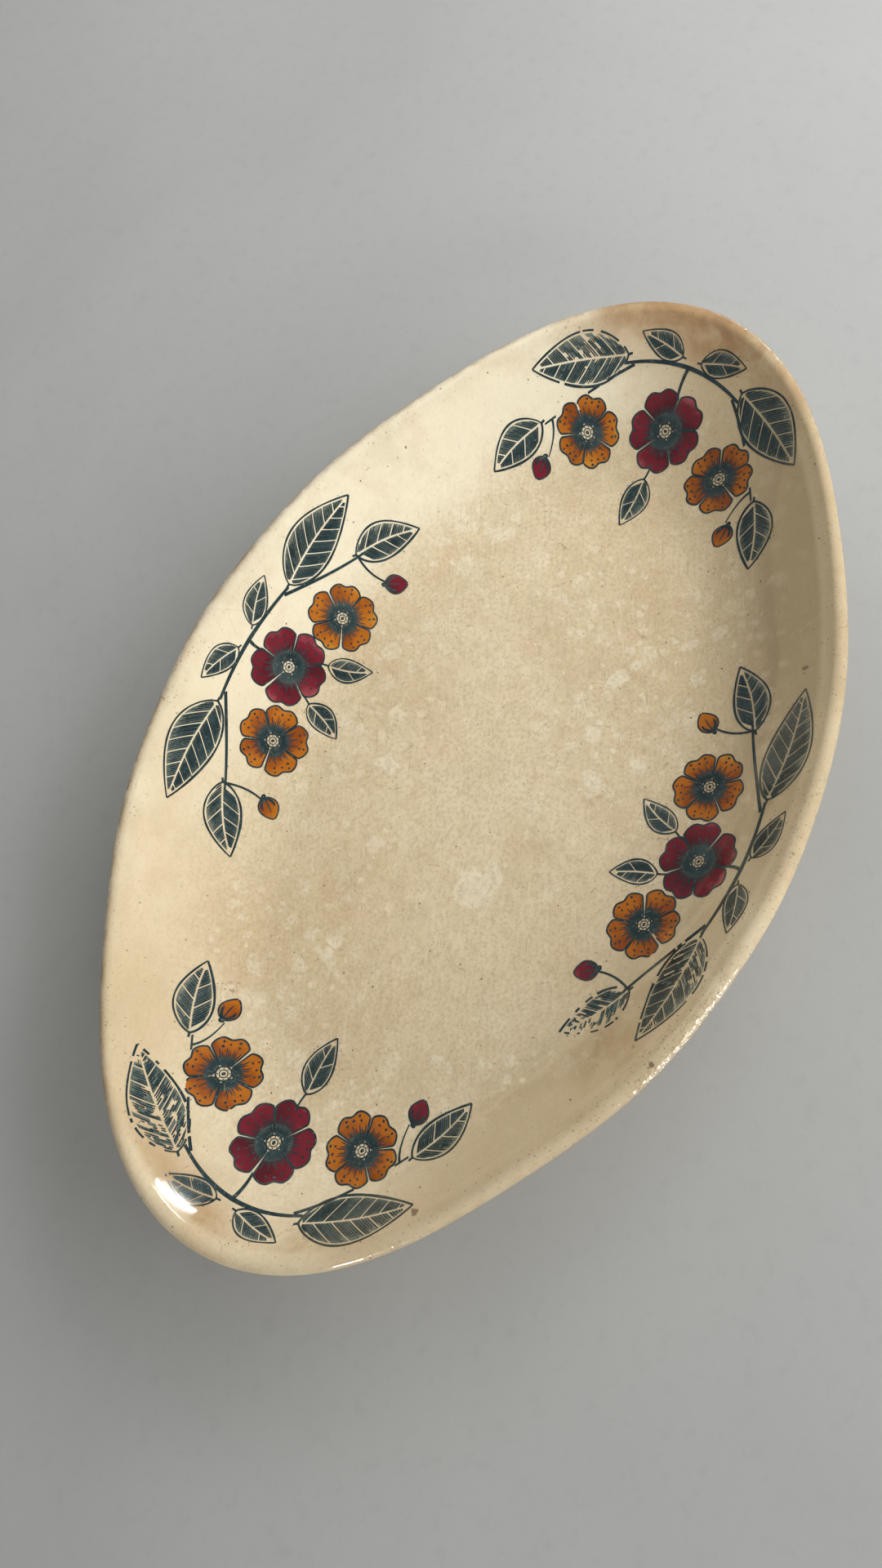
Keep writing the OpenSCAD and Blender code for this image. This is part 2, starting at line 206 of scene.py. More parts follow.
class Look:
    """A procedural material, with short calls for the nodes it needs."""

    def __init__(self, name):
        self.m = bpy.data.materials.new(name)
        self.m.use_nodes = True
        self.t = self.m.node_tree
        self.t.nodes.clear()
        out = self.t.nodes.new("ShaderNodeOutputMaterial")
        self.shader = self.t.nodes.new("ShaderNodeBsdfPrincipled")
        self.t.links.new(self.shader.outputs[0], out.inputs[0])
        self.co = self.t.nodes.new("ShaderNodeTexCoord").outputs["Object"]

    def put(self, socket, value):
        if isinstance(value, bpy.types.NodeSocket):
            self.t.links.new(value, socket)
        else:
            socket.default_value = value

    def node(self, kind, ins=(), **props):
        n = self.t.nodes.new(kind)
        for k, v in props.items():
            setattr(n, k, v)
        for k, v in dict(ins).items():
            self.put(n.inputs[k], v)
        return n

    def noise(self, scale, detail=4.0, rough=0.55, warp=0.0, co=None):
        n = self.node("ShaderNodeTexNoise", {"Vector": co or self.co, "Scale": scale, "Detail": detail,
                                             "Roughness": rough, "Distortion": warp})
        return n.outputs[0]

    def cells(self, scale, feature="F1", co=None, random=1.0, dims="3D"):
        return self.node("ShaderNodeTexVoronoi", {"Vector": co or self.co, "Scale": scale, "Randomness": random},
                         voronoi_dimensions=dims, feature=feature)

    def grains(self, scale, share, small, big, channel=0, co=None, edge=0.35):
        """Round spots of mixed size in a share of the cells of the plan."""
        spot = self.cells(scale, co=co, dims="2D")
        pick = self.node("ShaderNodeSeparateColor", {0: spot.outputs["Color"]}).outputs
        size = self.span(pick[(channel + 1) % 3], 0.0, 1.0, small, big, soft=False)
        inside = self.math("SUBTRACT", 1.0, self.math("DIVIDE", spot.outputs["Distance"], size))
        return self.math("MULTIPLY", self.span(inside, 0.0, edge), self.math("LESS_THAN", pick[channel], share))

    def span(self, value, a, b, lo=0.0, hi=1.0, soft=True):
        n = self.node("ShaderNodeMapRange", {"Value": value, "From Min": a, "From Max": b, "To Min": lo, "To Max": hi},
                      interpolation_type="SMOOTHSTEP" if soft else "LINEAR", clamp=True)
        return n.outputs[0]

    def math(self, op, a, b=0.0):
        n = self.t.nodes.new("ShaderNodeMath")
        n.operation = op
        self.put(n.inputs[0], a)
        self.put(n.inputs[1], b)
        return n.outputs[0]

    def mix(self, fac, a, b, blend="MIX"):
        n = self.t.nodes.new("ShaderNodeMix")
        n.data_type, n.blend_type, n.clamp_factor = "RGBA", blend, True
        self.put(n.inputs[0], fac)
        self.put(n.inputs[6], a)
        self.put(n.inputs[7], b)
        return n.outputs[2]

    def moved(self, scale=(1, 1, 1), rot=(0, 0, 0), loc=(0, 0, 0), co=None):
        n = self.node("ShaderNodeMapping", {"Vector": co or self.co})
        n.inputs["Location"].default_value = loc
        n.inputs["Rotation"].default_value = rot
        n.inputs["Scale"].default_value = scale
        return n.outputs[0]

    def warped(self, scale, amount):
        n = self.node("ShaderNodeTexNoise", {"Vector": self.co, "Scale": scale, "Detail": 3.0})
        s = self.node("ShaderNodeVectorMath", {0: n.outputs[1], 1: (0.5, 0.5, 0.5)}, operation="SUBTRACT")
        k = self.node("ShaderNodeVectorMath", {0: s.outputs[0], "Scale": amount}, operation="SCALE")
        a = self.node("ShaderNodeVectorMath", {0: self.co, 1: k.outputs[0]}, operation="ADD")
        return a.outputs[0]

    def xyz(self):
        return self.node("ShaderNodeSeparateXYZ", {0: self.co}).outputs

    def tone(self):
        return self.node("ShaderNodeAttribute", attribute_name="tone").outputs["Fac"]

    def bump(self, height, distance, strength=1.0, after=None):
        n = self.node("ShaderNodeBump", {"Height": height, "Distance": distance, "Strength": strength})
        if after is not None:
            self.t.links.new(after, n.inputs["Normal"])
        return n.outputs[0]

    def done(self, color, rough, normal=None, **consts):
        self.put(self.shader.inputs["Base Color"], color)
        self.put(self.shader.inputs["Roughness"], rough)
        if normal is not None:
            self.put(self.shader.inputs["Normal"], normal)
        for k, v in consts.items():
            self.shader.inputs[k.replace("_", " ")].default_value = v
        return self.m


CREAM, BEIGE = (240, 226, 194), (219, 199, 160)
# where the pale dabs gather: plan x, y and size in millimetres
PALE = [(57, 31, 15), (42, 33, 11), (20, -22, 12), (29, -12, 11), (-25, -12, 9), (-58, 12, 9), (-58, -37, 11)]
# larger patches that stayed pale: plan x, y and size in millimetres
BARE = [(-27, -11, 4.8), (-22, -14, 3.2), (-10, 22, 2.8), (18, -18, 3.2), (9, -24, 2.2), (16, -31, 2.2), (34, -18, 2.8), (56, 27, 2.6)]


def glaze_look():
    """Old cream glaze: uneven warm staining, pale blotches, faint crazing, dark specks, brown wear on the lip, and
    painted light and shade on the two long walls.
    """
    k = Look("aged_cream_glaze")
    x, y, z = k.xyz()
    on_floor = k.span(z, 0.0085, 0.021, 1.0, 0.18)
    # broad staining, weakest on the upper wall
    broad = k.span(k.noise(15, 5, 0.6, 0.3), 0.34, 0.68)
    color = k.mix(broad, lin(*CREAM), lin(*BEIGE))
    color = k.mix(k.math("MULTIPLY", on_floor, 0.42), color, lin(*BEIGE))
    # one long wall painted paler and whiter, mostly toward one end: painted light, standing in for the lamps and soft
    # sheen on the wall that faces them
    lean = k.math("ADD", y, k.math("MULTIPLY", x, 0.35))
    lit_wall = k.math("MULTIPLY", k.span(lean, 0.026, 0.056), k.span(z, 0.0086, 0.017))
    color = k.mix(k.math("MULTIPLY", lit_wall, k.span(x, -0.06, 0.03, 0.2, 0.95)), color, lin(246, 236, 208))
    # painted shade: the other long wall painted darker below the lip, where it faces away from the lamps
    ends = k.math("MULTIPLY", k.math("ABSOLUTE", x), 0.15)
    shaded_wall = k.math("MULTIPLY", k.span(k.math("SUBTRACT", ends, y), 0.029, 0.052), k.span(z, 0.0092, 0.019))
    shaded_wall = k.math("MULTIPLY", shaded_wall, k.math("MAXIMUM", k.span(z, 0.0275, 0.0295, 1.0, 0.25), k.span(x, -0.065, -0.03, 0.9, 0.0)))
    color = k.mix(k.math("MULTIPLY", shaded_wall, k.span(x, -0.02, 0.05, 0.60, 0.85)), color, k.mix(k.span(x, -0.02, 0.05), lin(188, 166, 129), lin(172, 152, 117)))
    dim = k.math("MULTIPLY", k.span(x, -0.045, -0.080), k.math("MULTIPLY", k.span(y, 0.012, 0.040), k.span(z, 0.010, 0.022)))
    color = k.mix(k.math("MULTIPLY", dim, 0.40), color, lin(204, 181, 142))
    # a paler stretch of floor
    off = k.node("ShaderNodeVectorMath", {0: k.co, 1: (0.008, -0.024, 0.008)}, operation="DISTANCE").outputs["Value"]
    color = k.mix(k.span(off, 0.010, 0.038, 0.34, 0.0), color, lin(*CREAM))
    # brownish clouds on the floor
    clouds = k.span(k.noise(44, 6, 0.62, 0.4), 0.46, 0.74)
    color = k.mix(k.math("MULTIPLY", clouds, k.math("MULTIPLY", on_floor, 0.34)), color, lin(202, 174, 134))
    # faint shifts of hue, to pink and to grey-green
    color = k.mix(k.span(k.noise(105, 4, 0.6, 0.3), 0.5, 0.72, 0.0, 0.30), color, lin(224, 192, 160))
    color = k.mix(k.span(k.noise(82, 4, 0.6, 0.3, co=k.moved(loc=(0.4, 0.2, 0.1))), 0.5, 0.74, 0.0, 0.26), color, lin(202, 190, 154))
    # pale dabs with soft edges, in clusters, where the stain never took
    ragged = k.warped(300, 0.0030)
    dabs = k.math("MAXIMUM", k.grains(150, 0.46, 0.12, 0.46, 0, co=ragged, edge=0.5),
                  k.grains(310, 0.50, 0.14, 0.48, 1, co=ragged, edge=0.6))
    dabs = k.math("MAXIMUM", dabs, k.grains(88, 0.30, 0.10, 0.34, 2, co=k.warped(190, 0.006), edge=0.4))
    dabs = k.math("MULTIPLY", dabs, k.span(k.noise(620, 3, 0.6), 0.30, 0.60, 0.25, 1.0))
    where = k.span(k.noise(30, 4, 0.6), 0.42, 0.62, 0.16, 0.66)
    flat = k.moved(scale=(1, 1, 0), co=k.warped(60, 0.012))
    for cx, cy, r in PALE:
        off = k.node("ShaderNodeVectorMath", {0: flat, 1: (cx * MM, cy * MM, 0)}, operation="DISTANCE").outputs["Value"]
        where = k.math("MAXIMUM", where, k.span(off, 0.3 * r * MM, 1.15 * r * MM, 0.95, 0.0))
    dabs = k.math("MULTIPLY", dabs, k.math("MULTIPLY", where, k.span(z, 0.0085, 0.027, 1.0, 0.15)))
    color = k.mix(dabs, color, lin(240, 229, 201))
    torn = k.moved(scale=(1, 1, 0), co=k.warped(210, 0.0085))
    bare = 0.0
    for cx, cy, r in BARE:
        off = k.node("ShaderNodeVectorMath", {0: torn, 1: (cx * MM, cy * MM, 0)}, operation="DISTANCE").outputs["Value"]
        bare = k.math("MAXIMUM", k.span(off, 0.72 * r * MM, r * MM, 1.0, 0.0), bare)
    bare = k.math("MULTIPLY", bare, k.span(k.noise(480, 3, 0.6), 0.30, 0.60, 0.40, 0.80))
    color = k.mix(bare, color, lin(240, 229, 201))
    # small brown smudges
    smudge = k.math("MULTIPLY", k.grains(62, 0.16, 0.05, 0.17, 2, co=ragged, edge=0.9), k.span(k.noise(400, 3, 0.6), 0.35, 0.65))
    color = k.mix(k.math("MULTIPLY", smudge, 0.34), color, lin(172, 144, 104))
    # fine mottling
    fine = k.span(k.noise(280, 4, 0.65), 0.36, 0.7)
    low = k.math("MULTIPLY", k.span(z, 0.0085, 0.024, 1.0, 0.4), k.span(lit_wall, 0.0, 1.0, 1.0, 0.45))
    color = k.mix(k.math("MULTIPLY", fine, k.math("MULTIPLY", low, 0.22)), color, lin(186, 158, 116))
    grain = k.span(k.noise(1150, 3, 0.65), 0.42, 0.68)
    color = k.mix(k.math("MULTIPLY", grain, k.math("MULTIPLY", low, 0.32)), color, lin(174, 148, 110))
    flecks = k.span(k.noise(640, 3, 0.6, 0.2, co=k.moved(loc=(0.7, 0.3, 0.9))), 0.56, 0.70)
    color = k.mix(k.math("MULTIPLY", flecks, k.math("MULTIPLY", on_floor, 0.20)), color, lin(238, 226, 200))
    # fine rubbing along one direction, dark and pale
    turned = k.moved(rot=(0, 0, -0.455))
    dark = k.span(k.noise(1.0, 3, 0.6, 0.0, co=k.moved((140, 1700, 140), loc=(0.3, 0.1, 0.7), co=turned)), 0.58, 0.76)
    color = k.mix(k.math("MULTIPLY", dark, k.math("MULTIPLY", on_floor, 0.30)), color, lin(150, 124, 90))
    light = k.span(k.noise(1.0, 3, 0.6, 0.0, co=k.moved((120, 1300, 120), loc=(3.3, 5.1, 1.7), co=turned)), 0.58, 0.76)
    color = k.mix(k.math("MULTIPLY", light, k.math("MULTIPLY", on_floor, 0.34)), color, lin(240, 229, 202))
    # short crooked hairlines
    web = k.cells(85, "DISTANCE_TO_EDGE", co=k.warped(240, 0.006), dims="2D").outputs["Distance"]
    net = k.cells(190, "DISTANCE_TO_EDGE", co=k.warped(170, 0.004), dims="2D").outputs["Distance"]
    lines = k.math("MULTIPLY", k.span(web, 0.004, 0.014, 1.0, 0.0), k.span(k.noise(210, 3, 0.6), 0.62, 0.70))
    hair = k.math("MULTIPLY", k.span(net, 0.006, 0.024, 1.0, 0.0), k.span(k.noise(50, 3, 0.6, 0.2), 0.5, 0.7))
    craze = k.math("MAXIMUM", k.math("MULTIPLY", lines, 0.5), k.math("MULTIPLY", hair, 0.12))
    color = k.mix(craze, color, lin(106, 82, 56))
    # a few pale scratches across, and one wider scrape
    marks = k.span(k.noise(1.0, 2, 0.5, 0.0, co=k.moved((800, 38, 38), loc=(0.37, 0.37, 0.37), co=k.moved(rot=(0, 0, 0.9)))), 0.72, 0.78)
    mx, my, _ = k.node("ShaderNodeSeparateXYZ", {0: k.moved(rot=(0, 0, -1.175), loc=(0.0132, -0.0568, 0))}).outputs
    scrape = k.math("MULTIPLY", k.span(k.math("ABSOLUTE", my), 0.0002, 0.0011, 1.0, 0.0), k.span(k.math("ABSOLUTE", mx), 0.0050, 0.0085, 1.0, 0.0))
    scrape = k.math("MULTIPLY", scrape, k.span(k.noise(420, 3, 0.6), 0.36, 0.58, 0.25, 1.0))
    marks = k.math("MAXIMUM", k.math("MULTIPLY", marks, k.math("MULTIPLY", on_floor, 0.40)), k.math("MULTIPLY", scrape, 0.5))
    color = k.mix(marks, color, lin(241, 231, 205))
    # iron specks, large and small
    bits = k.warped(900, 0.0007)
    color = k.mix(k.math("MULTIPLY", k.grains(135, 0.36, 0.013, 0.032, co=bits), 0.85), color, lin(66, 50, 36))
    small = k.math("MULTIPLY", k.grains(330, 0.40, 0.026, 0.062, 1, co=bits), k.span(lit_wall, 0.0, 1.0, 0.6, 0.25))
    color = k.mix(small, color, lin(108, 84, 56))
    # the lip: rubbed and browned, with pits through the glaze, worst on one long side
    # and least at one end
    crest = k.math("MAXIMUM", k.span(z, 0.0290, 0.0312), k.tone())
    kept = k.span(k.math("MULTIPLY", k.span(x, -0.112, -0.098, 1.0, 0.0), crest), 0.0, 1.0, 1.0, 0.2)
    lip = k.math("MULTIPLY", k.span(z, 0.0282, 0.0308), kept)
    used = k.span(y, -0.050, 0.020, 1.0, 0.45)
    rub = k.math("MULTIPLY", k.span(k.noise(70, 5, 0.65, 0.2), 0.38, 0.66, 0.20, 0.75), k.math("MULTIPLY", lip, used))
    color = k.mix(k.math("MULTIPLY", rub, 0.46), color, lin(180, 158, 122))
    patchy = k.span(k.noise(38, 4, 0.65), 0.44, 0.62, 0.04, 1.0)
    near = k.node("ShaderNodeVectorMath", {0: k.co, 1: (-0.0375, -0.0664, 0.0315)}, operation="DISTANCE").outputs["Value"]
    patchy = k.math("MAXIMUM", patchy, k.span(near, 0.008, 0.026, 1.0, 0.0))
    chipped = k.span(near, 0.008, 0.020, 1.0, 0.05)
    pits = k.math("MAXIMUM", k.grains(520, 0.09, 0.05, 0.17, 2, co=bits), k.math("MULTIPLY", k.grains(1300, 0.28, 0.10, 0.27, co=bits), 0.7))
    pits = k.math("MULTIPLY", pits, k.math("MULTIPLY", k.span(z, 0.0290, 0.0312), patchy))
    color = k.mix(k.math("MULTIPLY", pits, 0.62), color, lin(116, 88, 56))
    # the outer edge of the lip: glaze worn thin, in a broken brown line
    worn_edge = k.math("MULTIPLY", k.tone(), k.span(k.noise(190, 5, 0.7, 0.3), 0.40, 0.62, 0.12, 1.0))
    worn_edge = k.math("MULTIPLY", k.math("MULTIPLY", worn_edge, kept), k.span(y, -0.052, -0.010, 0.25, 1.0))
    color = k.mix(k.math("MULTIPLY", worn_edge, 0.72), color, lin(146, 117, 78))
    # nicks on the upper wall
    nicks = k.math("MULTIPLY", k.grains(64, 0.14, 0.018, 0.050, 0, co=k.warped(420, 0.0022)), k.span(z, 0.019, 0.025))
    color = k.mix(k.math("MULTIPLY", nicks, 0.78), color, lin(98, 76, 50))
    freckles = k.math("MULTIPLY", k.grains(900, 0.30, 0.08, 0.22, 1, co=bits), k.math("MULTIPLY", k.span(z, 0.0270, 0.0300), used))
    color = k.mix(k.math("MULTIPLY", freckles, 0.42), color, lin(134, 106, 72))
    # a brown patch high on the wall
    near = k.node("ShaderNodeVectorMath", {0: k.co, 1: (-0.047, -0.0555, 0.0215)}, operation="DISTANCE").outputs["Value"]
    patch = k.math("MULTIPLY", k.span(near, 0.002, 0.013, 1.0, 0.0), k.span(k.noise(130, 4, 0.6, 0.3), 0.35, 0.62))
    color = k.mix(k.math("MULTIPLY", patch, 0.45), color, lin(166, 136, 92))
    # brown stain under the lip at the two ends
    far = k.span(k.math("ABSOLUTE", x), 0.094, 0.114)
    high = k.span(z, 0.0175, 0.0285)
    stain = k.math("MULTIPLY", k.math("MULTIPLY", far, high), k.span(k.noise(36, 5, 0.62, 0.3), 0.32, 0.66, 0.12, 0.85))
    stain = k.math("MULTIPLY", k.math("MULTIPLY", stain, kept), k.span(x, -0.02, 0.02, 1.1, 1.15))
    color = k.mix(stain, color, lin(180, 143, 97))
    tip = k.math("MULTIPLY", k.span(x, 0.102, 0.115), k.math("MULTIPLY", k.span(z, 0.020, 0.029), k.span(k.noise(90, 5, 0.65, 0.4), 0.38, 0.62)))
    color = k.mix(k.math("MULTIPLY", tip, 0.62), color, lin(158, 120, 78))
    rough = k.span(k.noise(60, 4, 0.6), 0.3, 0.7, 0.035, 0.10)
    rough = k.math("MAXIMUM", rough, k.math("MULTIPLY", rub, 0.30))
    rough = k.math("MAXIMUM", rough, k.math("MULTIPLY", worn_edge, 0.45))
    rough = k.math("MAXIMUM", rough, k.math("MULTIPLY", k.math("MULTIPLY", patchy, lip), 0.20))
    n = k.bump(k.noise(42, 2, 0.5), 0.00022, 0.6)
    n = k.bump(k.noise(230, 2, 0.5), 0.00002, 0.5, after=n)
    ripple = k.math("MULTIPLY", k.noise(520, 3, 0.6), k.math("MULTIPLY", k.tone(), chipped))
    n = k.bump(ripple, 0.0010, 0.95, after=n)
    n = k.bump(k.math("SUBTRACT", 1.0, pits), 0.0002, 0.8, after=n)
    n = k.bump(k.math("MULTIPLY", k.noise(330, 4, 0.65), worn_edge), 0.0004, 0.7, after=n)
    return k.done(color, rough, n, IOR=1.58)


def clay_look():
    """Bare fired clay of the standing edge."""
    k = Look("bare_fired_clay")
    color = k.mix(k.span(k.noise(90, 5, 0.6), 0.35, 0.7), lin(206, 180, 136), lin(178, 148, 104))
    grit = k.cells(900, "F1").outputs["Distance"]
    color = k.mix(k.math("MULTIPLY", k.span(grit, 0.1, 0.3, 1.0, 0.0), 0.35), color, lin(120, 94, 62))
    color = k.mix(k.math("MULTIPLY", k.span(k.noise(260, 4, 0.6), 0.55, 0.7), 0.5), color, lin(128, 106, 80))
    n = k.bump(k.noise(700, 4, 0.6), 0.00012, 0.8)
    return k.done(color, k.span(k.noise(200, 3, 0.5), 0.3, 0.7, 0.62, 0.85), n)


def film_rough(k):
    return k.span(k.noise(60, 4, 0.6), 0.3, 0.7, 0.06, 0.13)


def film_bump(k):
    n = k.bump(k.noise(42, 2, 0.5), 0.00022, 0.6)
    return k.bump(k.noise(230, 2, 0.5), 0.00002, 0.5, after=n)


def ink_look():
    """Printed line: dense slate, thinner in patches and grainy where the paper pressed badly."""
    k = Look("slate_ink")
    color = k.mix(k.span(k.noise(220, 4, 0.6), 0.35, 0.7), lin(20, 42, 46), lin(40, 62, 65))
    color = k.mix(k.math("MULTIPLY", k.span(k.noise(70, 4, 0.6), 0.5, 0.72), 0.4), color, lin(84, 98, 95))
    color = k.mix(k.math("MULTIPLY", k.span(k.noise(1100, 3, 0.6), 0.56, 0.72), 0.4), color, lin(132, 134, 118))
    return k.done(color, film_rough(k), film_bump(k), IOR=1.58)


def wash_look():
    """The tone between the engraved lines: ink that printed thin, with the cream showing through its grain."""
    k = Look("slate_wash")
    color = k.mix(k.tone(), lin(58, 80, 79), lin(136, 140, 124))
    color = k.mix(k.math("MULTIPLY", k.span(k.noise(80, 5, 0.65), 0.45, 0.7), 0.4), color, lin(164, 162, 140))
    color = k.mix(k.math("MULTIPLY", k.span(k.noise(1300, 2, 0.6), 0.48, 0.66), 0.5), color, lin(44, 65, 66))
    return k.done(color, film_rough(k), film_bump(k), IOR=1.58)


def tint_look(name, deep, bright, pale):
    """Hand-laid tint: pools deep at one side of a petal and thins out at the other, with brush streaks."""
    k = Look(name)
    t = k.math("ADD", k.tone(), k.span(k.noise(150, 4, 0.6), 0.25, 0.75, -0.26, 0.26))
    color = k.mix(k.span(t, 0.1, 0.6), deep, bright)
    color = k.mix(k.span(t, 0.62, 1.05), color, pale)
    color = k.mix(k.math("MULTIPLY", k.span(k.noise(700, 3, 0.6), 0.5, 0.75), 0.25), color, deep)
    return k.done(color, film_rough(k), film_bump(k), IOR=1.58)


GLAZE_M, CLAY_M, INK_M, WASH_M = glaze_look(), clay_look(), ink_look(), wash_look()
OCHRE_M = tint_look("ochre_tint", lin(142, 68, 0), lin(184, 104, 6), lin(204, 138, 40))
CRIMSON_M = tint_look("crimson_tint", lin(82, 4, 22), lin(116, 16, 36), lin(164, 78, 82))

# ---------------------------------------------------------------- the clay and its glaze

verts, faces = lathe(clay_skin + standing + clay_hollow, FLOOR_Z - SAG - GLAZE, HOLLOW + 0.3 + GLAZE)
body = new_object("dish_clay", verts, faces, [CLAY_M], sharp=50)
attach(body, "root")
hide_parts("earthenware_body")

v1, f1 = lathe(skin + sunk(skin, GLAZE - 0.004)[::-1], FLOOR_Z - SAG, FLOOR_Z - SAG - GLAZE + 0.004)
v2, f2 = lathe(sunk(hollow, GLAZE - 0.004)[::-1] + hollow, HOLLOW + 0.3 + GLAZE - 0.004, HOLLOW + 0.3)
lip_turn = dict(zip(range(22 + 30, 22 + 30 + 26), np.linspace(IN_SLOPE, OUT_SLOPE - math.pi, 27)[1:]))
edge_wear = np.zeros(len(v1) + len(v2))
for i, q in lip_turn.items():
    w = np.clip((0.10 - math.degrees(q) / 100) / 0.45, 0, 1) * np.clip((math.degrees(q) + 128) / 30, 0, 1)
    edge_wear[1 + i * AROUND:1 + (i + 1) * AROUND] = w
coat = new_object("dish_glaze", np.vstack([v1, v2]), f1 + [tuple(i + len(v1) for i in f) for f in f2], [GLAZE_M],
                  tone=edge_wear, sharp=50)
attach(coat, "root")
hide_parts("clear_glaze")

# ---------------------------------------------------------------- where a motif lies on the wall

lip_line = [(LIP_R * (1 + math.sin(q)), LIP_Z + LIP_R * math.cos(q)) for q in np.linspace(0, IN_SLOPE, 9)]
wall_line = [(LIP_JOIN + (REACH - LIP_JOIN) * k, float(wall_in(k))) for k in np.linspace(0, 1, 60)[1:]]
drop = np.array(lip_line + wall_line + [(REACH + 40, FLOOR_Z)])
drop_l = np.concatenate([[0], np.cumsum(np.hypot(*np.diff(drop, axis=0).T))])


def reach(l):
    return np.interp(l, drop_l, drop[:, 0])


GUIDE = 14.0


def on_guide(t):
    r = true_edge(t) - inset(np.full_like(t, GUIDE), t, true_edge)
    return np.stack([r * np.cos(t), r * np.sin(t)], -1)


class Place:
    """Distances along the rim from the middle of a spray, and down the wall from the lip's crest."""

    def __init__(self, t0, half_turn):
        self.t0, self.sign = t0, -1.0 if half_turn else 1.0
        dt = np.radians(np.linspace(0, 80, 161))
        p = on_guide(t0 + dt)
        self.s = np.concatenate([[0], np.cumsum(np.hypot(*np.diff(p, axis=0).T))])
        self.dt = dt

    def spot(self, s, l):
        s, l = np.asarray(s, float), np.asarray(l, float)
        t = self.t0 + np.sign(s) * np.interp(np.abs(s), self.s, self.dt)
        e = math.radians(0.5)
        a = on_guide(t + e) - on_guide(t - e)
        a = a / np.linalg.norm(a, axis=-1)[..., None]
        r = true_edge(t) - inset(reach(l), t, true_edge)
        return {"p": np.stack([r * np.cos(t), r * np.sin(t)], -1), "a": a,
                "n": np.stack([-a[..., 1], a[..., 0]], -1), "l": l, "flare": flare(t, true_edge)}


def laid(k, u, v):
    """Plan of a flat motif laid on the wall at a spot: u along the rim, v down the wall."""
    u, v = np.asarray(u, float), np.asarray(v, float)
    w = (reach(k["l"] + v) - reach(k["l"])) * k["flare"]
    return k["p"] + u[..., None] * k["a"] + w[..., None] * k["n"]


# ---------------------------------------------------------------- films: ink lines, printed tone and tints


